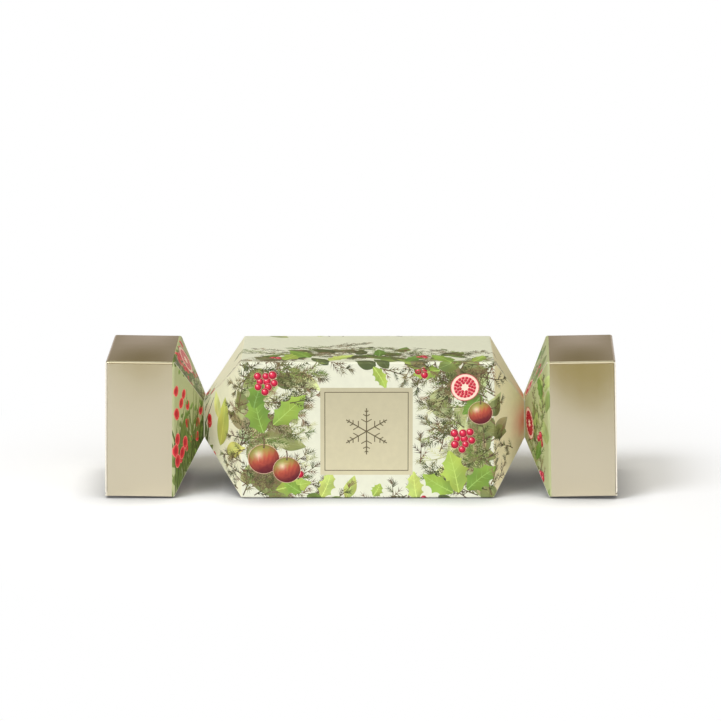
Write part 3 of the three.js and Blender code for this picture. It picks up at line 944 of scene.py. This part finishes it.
def khaki(row):
    # The right neck is khaki, a ground that paints its dull look in shade and reflection, and beside the fold
    # a reddish patch is a painted reflection of the cut fruit
    near = sheet["right"][1]

    def tint(xs, ss):
        u = (xs - near + paintedReflectionSpot["inward"]) / paintedReflectionSpot["wide"]
        v = (ss - row * pitch - paintedReflectionSpot["up"]) / paintedReflectionSpot["tall"]
        glow = np.exp(-u ** 2 - v ** 2)[:, None]
        return np.array(linear(*finish["khaki"])) * (1 - glow) + np.array(linear(*finish["paintedNeckReflection"])) * glow
    return tint


for sideName, row in sideRow.items():
    s0, s1 = row * pitch - panelHalf, row * pitch + panelHalf
    x0, x1 = -body.length / 2, body.length / 2
    arcs = (x0, units["left"].bodyFold.arc), (x1, -units["right"].bodyFold.arc)
    lines = gridLines(x0, x1, s0, s1, arcs, True)
    place = sheetPlace(body, sideName, None, x0, False, radius=carton["bodyRadius"])
    piece = panel(f"body_{sideName}", "body", rectangle(x0, x1, s0, s1), lines, printed, place,
                  (paleTint, False))
    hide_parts(f"body_{sideName}_panel")
print("body panels made")


def taper(where, part, strip, unit, sideName, start, half0, half1, tone, tilted, bend):
    name, node = f"{unit.name}_{where}_taper_{sideName}", f"{unit.name}_{part}_taper_{sideName}"
    d, s = unit.direction, sideRow[sideName] * pitch
    end = start + d * strip.length
    outline = [(start, s - half0), (end, s - half1), (end, s + half1), (start, s + half0)]
    arcs = (start, d * strip.start.arc), (end, -d * strip.end.arc)
    lines = gridLines(start, end, s - middle, s + middle, arcs, False)
    place = sheetPlace(strip, sideName, unit, start, tilted, radius=0, bend=bend)
    piece = panel(name, node, outline if d > 0 else outline[::-1], lines, printed, place, (tone, False),
                  carton["mitre"])
    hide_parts(node)


neckHalf = neckMiddle - board / 2 + carton["cutLap"]
for name, unit in units.items():
    first, second, third = sheet[name]
    wideOut, wideEnd = (
        middle - board / 2 / math.cos(turn) + carton["cutLap"] for turn in (unit.outTurn, unit.endTurn))
    for sideName, row in sideRow.items():
        # The right neck's khaki ground paints its dull look in shade and reflection, where the left neck
        # keeps its cream
        tone = khaki(row) if name == "right" else linear(*finish["cream"])
        taper("out", "body", unit.bodyTaper, unit, sideName, first, wideOut, neckHalf, tone, False, 1)
        taper("in", "end", unit.endTaper, unit, sideName, second, neckHalf, wideEnd, mint, True, -1)
print("tapers made")

innerHalf = carton["section"] / 2 - board
tuckFoldAt = innerHalf - closure["tuckFoldGap"] - board / 2


def hanging(unit, strip, sideName):
    # Like sheetPlace, for a flap that is laid out by itself: x from its fold on, s across it
    over = np.array(across[sideName]) * flipped(unit) * unit.direction
    out = np.array(outward[sideName]) * flipped(unit)

    def place(xs, ss):
        profile, tangentNormal = strip.at(np.asarray(xs, float))
        points = profile[:, :1] * alongX + np.asarray(ss, float)[:, None] * over + profile[:, 1:] * out
        return toRoom(points, tangentNormal[:, :1] * alongX + tangentNormal[:, 1:] * out, unit, True)
    return place


def flapPiece(unit, name, node, strip, outline, sideName):
    (x0, s0), (x1, s1) = np.min(outline, axis=0), np.max(outline, axis=0)
    lines = gridLines(x0, x1, s0, s1, ((0.0, strip.start.arc), (strip.length, -strip.end.arc)), False)
    place = hanging(unit, strip, sideName)
    piece = panel(name, node, outline, lines, [], place, (foilTint, True))
    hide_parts(node)


def endBox(unit):
    d, third = unit.direction, sheet[unit.name][2]
    tuckFold = Fold(math.radians(90 + closure["tuckLean"]))
    edge = third + d * (unit.endFold.arc + closure["bleed"])
    for sideName, row in sideRow.items():
        to, fold = {"bottom": (unit.boxEnd, openEnd), "top": (unit.lidPlane, squareFold)}.get(
            sideName, (unit.dustPlane, tightFold))
        strip = Strip((unit.boxStart, middle), (to, middle), unit.endFold, fold)
        far = third + d * strip.length
        s0, s1 = row * pitch - panelHalf, row * pitch + panelHalf
        arcs = (third, d * unit.endFold.arc), (far, -d * strip.end.arc)
        lines = gridLines(third, far, s0, s1, arcs, True)
        bow = endUnits[unit.name]["bow"].get(sideName, 0)
        place = sheetPlace(strip, sideName, unit, third, True, bow=bow)
        # The print ends just past the fold, and foil covers the rest
        low, high = (min(third, edge), s0), (max(third, edge), s1)
        shapes = [(rectangle(third - d, edge, s0 - 1, s1 + 1), mint, False)]
        shapes += [shape for shape in printed if touches(shape[0], low, high)]
        shapes += [(rectangle(edge, far + d, s0 - 1, s1 + 1), foilTint, True)]
        piece = panel(f"{unit.name}_box_{sideName}", f"{unit.name}_end_box", rectangle(third, far, s0, s1),
                      lines, shapes, place, (foilTint, True))
        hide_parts(f"{unit.name}_end_panel_{sideName}")

    # The lid hangs from the top panel, and the tuck flap turns in under it
    lid = Strip((unit.lidPlane, middle), (unit.lidPlane, -tuckFoldAt), squareFold, tuckFold)
    half = carton["section"] / 2 - closure["lidGap"]
    outline = rectangle(0, lid.length, -half, half)
    flapPiece(unit, f"{unit.name}_end_lid", f"{unit.name}_lid", lid, outline, "top")
    lean, reach = math.radians(closure["tuckLean"]), closure["tuckLength"]
    tip = (unit.lidPlane - reach * math.cos(lean), -tuckFoldAt + reach * math.sin(lean))
    tuck = Strip((unit.lidPlane, -tuckFoldAt), tip, tuckFold, openEnd)
    half, corner = innerHalf - closure["tuckInset"], closure["tuckCorner"]
    start = tuck.length - corner
    outline = [(0, -half), (start, -half)]
    steps = closure["cornerSteps"]
    for i in range(1, steps + 1):
        a = math.pi / (2 * steps) * i
        outline.append((start + corner * math.sin(a), -half + corner * (1 - math.cos(a))))
    outline += [(x, -s) for x, s in outline[::-1]]
    flapPiece(unit, f"{unit.name}_end_tuck", f"{unit.name}_tuck_flap", tuck, outline, "top")

    # Dust flaps fold in from the front and back panels
    tip = (unit.dustPlane, middle - closure["dustReach"])
    dust = Strip((unit.dustPlane, middle), tip, tightFold, openEnd)
    low, high, n = closure["dustBottom"] - innerHalf, middle - closure["dustTop"], dust.length
    for sideName in ("front", "back"):
        up = d * across[sideName][2]
        outline = [(0, up * low), (n, up * (low + closure["dustBottomSlope"] * n)),
                   (n, up * (high - closure["dustSlope"] * n)), (0, up * high)]
        flapPiece(unit, f"{unit.name}_end_dust_{sideName}", f"{unit.name}_dust_flap_{sideName}", dust,
                  outline if up > 0 else outline[::-1], sideName)


for unit in units.values():
    endBox(unit)
print("end boxes made")

for node in ("body_glue_flap", "right_end_glue_flap", "left_end_glue_flap"):
    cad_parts[node].material_slots[0].material = boardMaterials[2]

# The hand cream tube inside, x along it from its crimped end
tube = {"radius": 14.0, "wall": 0.45, "endGap": 3.3, "gap": 0.3, "sides": 96, "crease": 38}
sleeve = {
    "round": 6.0, "cavity": 10.0, "crimp": 6.0, "crimpThickness": 1.0, "crimpWidth": 44.0,
    "ridge": 0.75, "ridgeDepth": 0.14, "outsideSteps": 20, "insideSteps": 12, "creamSteps": 8,
}
shoulder = {
    "skirt": 4.0, "skirtWall": 1.0, "lip": 1.0, "rise": 3.0, "edge": 0.2,
    "spout": 6.0, "spoutLength": 8.7, "bore": 2.5, "threadTurns": 3, "threadDepth": 0.22, "threadEnd": 1.2,
    "spoutEdge": 0.3,
}
seal = {"radius": 6.0, "thickness": 0.2, "edge": 0.2, "edgeDepth": 0.05}
cap = {"radius": 10.0, "draft": 0.4, "top": 2.6, "clearance": 0.3, "ribs": 48, "ribDepth": 0.28, "edge": 0.3,
       "hole": 0.05}
# Colour, roughness, metallic and grain
tubeLooks = {
    "tube_pale_plastic": ((217, 224, 194), 0.42, 0.0, 0.2),
    "tube_gold_print": ((205, 187, 133), 0.34, 0.7, 0.0),
    "shoulder_white_plastic": ((244, 242, 234), 0.4, 0.0, 0.2),
    "cap_gold_plastic": ((205, 187, 133), 0.3, 0.6, 0.0),
    "seal_silver_foil": ((213, 214, 216), 0.25, 0.9, 0.3),
    "hand_cream_white": ((251, 248, 239), 0.5, 0.0, 0.6),
}
tubeNoise = {
    "wear": (0.04, 260, 3), "mottle": (60, 2), "mottleShades": (0.96, 1.03), "bump": (900, 2, 0.00003),
}
tubeRadius, gap, crimp = tube["radius"], tube["gap"], sleeve["crimp"]
spoutFoot = gap + shoulder["lip"] + shoulder["rise"]
spoutTop = spoutFoot + shoulder["spoutLength"]
capCeiling = spoutTop + 2 * gap + seal["thickness"]
capEnd = capCeiling + cap["top"]
sleeveLength = carton["body"] - 2 * tube["endGap"] - capEnd
roundStart = sleeveLength - sleeve["round"]
# The tube lies on its crimp and on its round end
tubeTilt = math.atan2(tubeRadius - sleeve["crimpThickness"] / 2, roundStart)
tubeSpan = (sleeveLength + capEnd) * math.cos(tubeTilt) + cap["radius"] * math.sin(tubeTilt)
tubeLow = roundStart * math.sin(tubeTilt) - tubeRadius * math.cos(tubeTilt)
tubeAt = np.array([-tubeSpan / 2, 0, carton["section"] / 2 - innerHalf + gap - tubeLow])


def tubeMaterial(name, colour, roughness, metallic, grain):
    tint = (*linear(*colour), 1)
    material, tree, shader = newMaterial(name, Metallic=metallic, Roughness=roughness, Base_Color=tint)
    tree.links.new(around(tree, roughness, *tubeNoise["wear"]), shader.inputs["Roughness"])
    base = addNode(tree, "RGB")
    base.outputs[0].default_value = tint
    mottle = spread(tree, noise(tree, *tubeNoise["mottle"]), *tubeNoise["mottleShades"])
    tree.links.new(scaled(tree, base.outputs[0], mottle), shader.inputs["Base Color"])
    if grain:
        tree.links.new(bump(tree, *tubeNoise["bump"], grain), shader.inputs["Normal"])
    return material


def ringed(name, rings, material, node, ridesOn, closed=False, band=None):
    # A closed skin through rings of points, with a cap on both ends unless the rings close on themselves
    count, last = len(rings[0]), (len(rings) - 1) * len(rings[0])
    points = np.concatenate(rings) @ rotation("y", -math.degrees(tubeTilt)).T + tubeAt
    faces = []
    for k in range(len(rings) if closed else len(rings) - 1):
        a, b = k * count, (k + 1) % len(rings) * count
        faces += [(a + i, b + i, b + (i + 1) % count, a + (i + 1) % count) for i in range(count)]
    if not closed:
        faces += [tuple(range(count)), tuple(last + i for i in reversed(range(count)))]
    mesh = bpy.data.meshes.new(name)
    mesh.from_pydata((points / 1000).tolist(), [], faces)
    mesh.polygons.foreach_set("use_smooth", [True] * len(faces))
    mesh.set_sharp_from_angle(angle=math.radians(tube["crease"]))
    mesh.materials.append(material)
    if band:
        mesh.materials.append(band[0])
        for k in band[1]:
            for i in range(count):
                mesh.polygons[k * count + i].material_index = 1
    piece = bpy.data.objects.new(name, mesh)
    scene.collection.objects.link(piece)
    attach(piece, ridesOn)
    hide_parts(node)


def oval(x, wide, tall, count):
    turn = np.linspace(0, 2 * math.pi, count, endpoint=False)
    return np.stack([np.full_like(turn, x), -wide * np.cos(turn), tall * np.sin(turn)], 1)


def circle(x, radius, ribs=0, depth=0.0, count=tube["sides"]):
    turn = np.linspace(0, 2 * math.pi, count, endpoint=False)
    r = radius - depth * (0.5 + 0.5 * np.cos(ribs * turn))
    return oval(x, r, r, count)


def sleeveRing(x, inset, thin=0.0):
    flat = min(1, max(0, (roundStart - x) / (roundStart - crimp)))
    wide = tubeRadius + (sleeve["crimpWidth"] / 2 - tubeRadius) * flat - inset
    tall = tubeRadius + (sleeve["crimpThickness"] / 2 - tubeRadius) * flat - inset - thin
    return oval(x, wide, tall, tube["sides"])


def wave(depth, i):
    # Ridges and threads, with four points to each
    return depth * (0.5 + 0.5 * math.cos(math.pi * i / 2))


def evenly(start, end, steps):
    return [start + (end - start) * i / steps for i in range(steps + 1)]


def makeTube():
    plastic = {name: tubeMaterial(name, *look) for name, look in tubeLooks.items()}
    end = sleeveLength

    # Sleeve: flat and ridged at the crimp, round at the shoulder, hollow from the cavity on
    ridges, steps = round(crimp / sleeve["ridge"] * 4), sleeve["outsideSteps"]
    outside = [(crimp * i / ridges, wave(sleeve["ridgeDepth"], i)) for i in range(ridges)]
    outside += [(x, 0) for x in evenly(crimp, roundStart, steps) + [end]]
    inside = [end] + evenly(roundStart, sleeve["cavity"], sleeve["insideSteps"])
    rings = [sleeveRing(x, 0, thin) for x, thin in outside] + [sleeveRing(x, tube["wall"]) for x in inside]
    stripes = [ridges + steps - 2, ridges + 1]
    ringed("cream_tube_sleeve", rings, plastic["tube_pale_plastic"], "tube_sleeve", "tube",
           band=(plastic["tube_gold_print"], stripes))

    # Shoulder: a skirt in the sleeve, a lip, a cone and a threaded spout
    skirt, deep = tubeRadius - tube["wall"] - gap, shoulder["skirt"]
    edge, bore = shoulder["edge"], shoulder["bore"]
    inner, neck = skirt - shoulder["skirtWall"], shoulder["spout"] - shoulder["threadDepth"]
    lip, turns, threadEnd = gap + shoulder["lip"], shoulder["threadTurns"] * 4, shoulder["threadEnd"]
    profile = [(-deep, inner), (-deep, skirt), (gap, skirt), (gap, tubeRadius - edge),
               (gap + edge, tubeRadius), (lip - edge, tubeRadius), (lip, tubeRadius - 1.25 * edge),
               (spoutFoot, neck)]
    for i in range(turns + 1):
        along = spoutFoot + threadEnd + (shoulder["spoutLength"] - 2 * threadEnd) * i / turns
        profile.append((along, shoulder["spout"] - wave(shoulder["threadDepth"], i)))
    rim = shoulder["spoutEdge"]
    profile += [(spoutTop - rim, neck), (spoutTop, neck - rim), (spoutTop, bore),
                (spoutFoot - shoulder["skirtWall"], bore), (gap, inner)]
    ringed("cream_tube_shoulder", [circle(end + x, r) for x, r in profile], plastic["shoulder_white_plastic"],
           "tube_shoulder", "tube", closed=True)

    # Foil seal with a rolled edge, and the cream
    foot, thick, wide, deep = end + spoutTop + gap, seal["thickness"], seal["radius"], seal["edgeDepth"]
    profile = [(0, wide - seal["edge"]), (deep, wide), (thick - deep, wide), (thick, wide - seal["edge"])]
    ringed("cream_tube_seal", [circle(foot + x, r) for x, r in profile], plastic["seal_silver_foil"],
           "tube_foil_seal", "tube")
    along = evenly(sleeve["cavity"] + 2 * gap, roundStart, sleeve["creamSteps"])
    along.append(end - shoulder["skirt"] - gap)
    rings = [sleeveRing(x, tube["wall"] + gap) for x in sorted(along)]
    ringed("cream_in_tube", rings, plastic["hand_cream_white"], "tube_cream", "tube")

    # Cap: hollow over the spout, ribbed round its side, rounded at its top
    wide, edge, hole = cap["radius"], cap["edge"], cap["hole"]
    mouth, top, bore = spoutFoot + gap, wide - cap["draft"], shoulder["spout"] + cap["clearance"]
    profile = [(capCeiling, hole, 0), (capCeiling, bore, 0), (mouth, bore, 0), (mouth, wide - edge, 0),
               (mouth + edge, wide, 0), (mouth + 1.2, wide - 0.03, 0), (mouth + 1.6, wide - 0.04, 1),
               (capEnd - 1.9, top + 0.05, 1), (capEnd - 1.5, top + 0.04, 0), (capEnd - 0.8, top, 0),
               (capEnd - 0.25, top - 0.25, 0), (capEnd, top - 0.8, 0), (capEnd, hole, 0)]
    ribs, depth = cap["ribs"], cap["ribDepth"]
    rings = [circle(end + x, r, ribs, depth * ribbed, ribs * 4) for x, r, ribbed in profile]
    ringed("cream_tube_cap", rings, plastic["cap_gold_plastic"], "tube_cap", "tube_cap")


makeTube()
print("tube made")

# Camera, floor and light
view = {
    "lens": 178.1, "sensor": 36, "elevation": 11.456, "distance": 1.3065,
    "target": (-0.0025725, 0.0, 0.045625),
}
camera = bpy.data.objects.new("camera", bpy.data.cameras.new("camera"))
scene.collection.objects.link(camera)
camera.data.lens = view["lens"]
camera.data.sensor_width = view["sensor"]
camera.data.clip_end = 50
tilt = math.radians(view["elevation"])
camera.location = Vector(view["target"]) + Vector((0, -math.cos(tilt), math.sin(tilt))) * view["distance"]
camera.rotation_euler = (math.pi / 2 - tilt, 0, 0)
scene.camera = camera

studio = {
    # The floor's colour to the object and to the camera, and how far the painted contact shadow under the
    # object reaches
    "floor": (0.80, 0.80, 0.88), "seenFloor": (0.925, 0.945, 1.0), "paintedContactShadow": 0.015,
    "floorSize": 8.0, "floorDrop": 0.0003, "floorRoughness": 0.9, "floorGloss": 0.1,
    # To the camera the floor turns white between these distances, and its shadows are lifted a little
    "nearRadius": 0.08, "farRadius": 0.19, "lift": 0.07,
    # The foil sees a shade on the floor in front
    "shadeFrom": 0.215, "shadeTo": 0.31, "shadeSkew": 0.5, "shade": (0.44, 0.37, 0.14),
    # The room by height, as stops of position and colour, and a wide soft light in front
    "room": ((0.14, (0.62, 0.54, 0.51)), (0.25, (0.17, 0.13, 0.04)), (0.8, (0.27, 0.25, 0.17))),
    "front": (1.2, 1.15, 1.04), "frontY": (-0.1, -0.4), "frontZ": (0.3, 0.45), "frontX": (0.8, 0.5),
}


def fade(tree, value, near, far, least=0.0):
    inputs = {"Value": value, "From Min": near, "From Max": far, "To Min": least}
    return addNode(tree, "MapRange", inputs, interpolation_type="SMOOTHSTEP").outputs["Result"]


def product(tree, a, b):
    return addNode(tree, "Math", {0: a, 1: b}, operation="MULTIPLY").outputs["Value"]


def mixed(tree, share, first, second):
    return addNode(tree, "MixShader", {"Fac": share, 1: first, 2: second}).outputs["Shader"]


def makeFloor():
    mesh = bpy.data.meshes.new("floor")
    h = studio["floorSize"] / 2
    mesh.from_pydata([(-h, -h, 0), (h, -h, 0), (h, h, 0), (-h, h, 0)], [], [(0, 1, 2, 3)])
    floor = bpy.data.objects.new("floor", mesh)
    floor.location.z = -studio["floorDrop"]
    scene.collection.objects.link(floor)
    material, tree, shader = newMaterial(
        "floor_white", Roughness=studio["floorRoughness"], Base_Color=(*studio["floor"], 1))
    shader.inputs["Specular IOR Level"].default_value = studio["floorGloss"]
    place = addNode(tree, "TexCoord").outputs["Object"]
    ray = addNode(tree, "LightPath").outputs
    away = addNode(tree, "VectorMath", {0: place}, operation="LENGTH").outputs["Value"]
    ahead = addNode(tree, "VectorMath", {0: place, 1: (studio["shadeSkew"], -1, 0)}, operation="DOT_PRODUCT")

    def layer(under, kind, distance, near, far, colour, least=0.0):
        # Away from the object, this kind of ray sees a plain glow instead of the lit floor
        share = product(tree, fade(tree, distance, near, far, least), ray[kind])
        glow = addNode(tree, "Emission", {"Color": (*colour, 1)}).outputs["Emission"]
        return mixed(tree, share, under, glow)

    # To the camera the floor is darkened near the object by ambient occlusion: a painted contact shadow
    inputs = {"Distance": studio["paintedContactShadow"], "Color": (*studio["seenFloor"], 1)}
    corner = addNode(tree, "AmbientOcclusion", inputs, samples=8)
    bright = addNode(tree, "BsdfDiffuse", {"Color": corner.outputs["Color"]})
    lit = mixed(tree, ray["Is Camera Ray"], shader.outputs["BSDF"], bright.outputs["BSDF"])
    lit = layer(lit, "Is Glossy Ray", ahead.outputs["Value"], studio["shadeFrom"], studio["shadeTo"],
                studio["shade"])
    seen = layer(lit, "Is Camera Ray", away, studio["nearRadius"], studio["farRadius"], (1, 1, 1),
                 studio["lift"])
    tree.links.new(seen, tree.nodes["Material Output"].inputs["Surface"])
    mesh.materials.append(material)


def makeWorld():
    world = bpy.data.worlds.new("studio")
    world.use_nodes = True
    scene.world = world
    tree = world.node_tree
    split = addNode(tree, "SeparateXYZ", {0: addNode(tree, "TexCoord").outputs["Generated"]}).outputs
    ramp = addNode(tree, "ValToRGB", {"Fac": split["Z"]})
    stops = ramp.color_ramp.elements
    (low, lowColour), (band, bandColour), (high, highColour) = studio["room"]
    stops[0].position, stops[1].position = low, high
    stops[0].color, stops[1].color = (*lowColour, 1), (*highColour, 1)
    stops.new(band).color = (*bandColour, 1)
    sideways = addNode(tree, "Math", {0: split["X"]}, operation="ABSOLUTE").outputs["Value"]
    ahead, above = fade(tree, split["Y"], *studio["frontY"]), fade(tree, split["Z"], *studio["frontZ"])
    share = product(tree, product(tree, ahead, above), fade(tree, sideways, *studio["frontX"]))
    glow = addNode(tree, "Mix", {"Factor": share, "A": ramp.outputs["Color"], "B": (*studio["front"], 1)},
                   data_type="RGBA").outputs["Result"]
    tree.links.new(glow, tree.nodes["Background"].inputs["Color"])
    white = addNode(tree, "Background", {"Color": (1, 1, 1, 1)}).outputs["Background"]
    seen = mixed(tree, addNode(tree, "LightPath").outputs["Is Camera Ray"],
                 tree.nodes["Background"].outputs["Background"], white)
    tree.links.new(seen, tree.nodes["World Output"].inputs["Surface"])


makeFloor()
makeWorld()
lamps = {
    "key": {"at": (-0.75, -0.65, 1.2), "aim": (0, 0, 0.02), "size": 0.75, "power": 15.5},
    "fill": {"at": (1.1, -0.9, 0.7), "aim": (0, 0, 0.03), "size": 1.0, "power": 4.5},
    "back": {"at": (0.15, 0.55, 1.3), "aim": (0, 0, 0), "size": 0.8, "power": 1.5},
}
for name, lamp in lamps.items():
    light = bpy.data.lights.new(name, "AREA")
    light.shape = "DISK"
    light.size = lamp["size"]
    light.energy = lamp["power"]
    item = bpy.data.objects.new(name, light)
    scene.collection.objects.link(item)
    item.location = lamp["at"]
    aim = Vector(lamp["aim"]) - Vector(lamp["at"])
    item.rotation_euler = aim.to_track_quat("-Z", "Y").to_euler()
print("stage set")
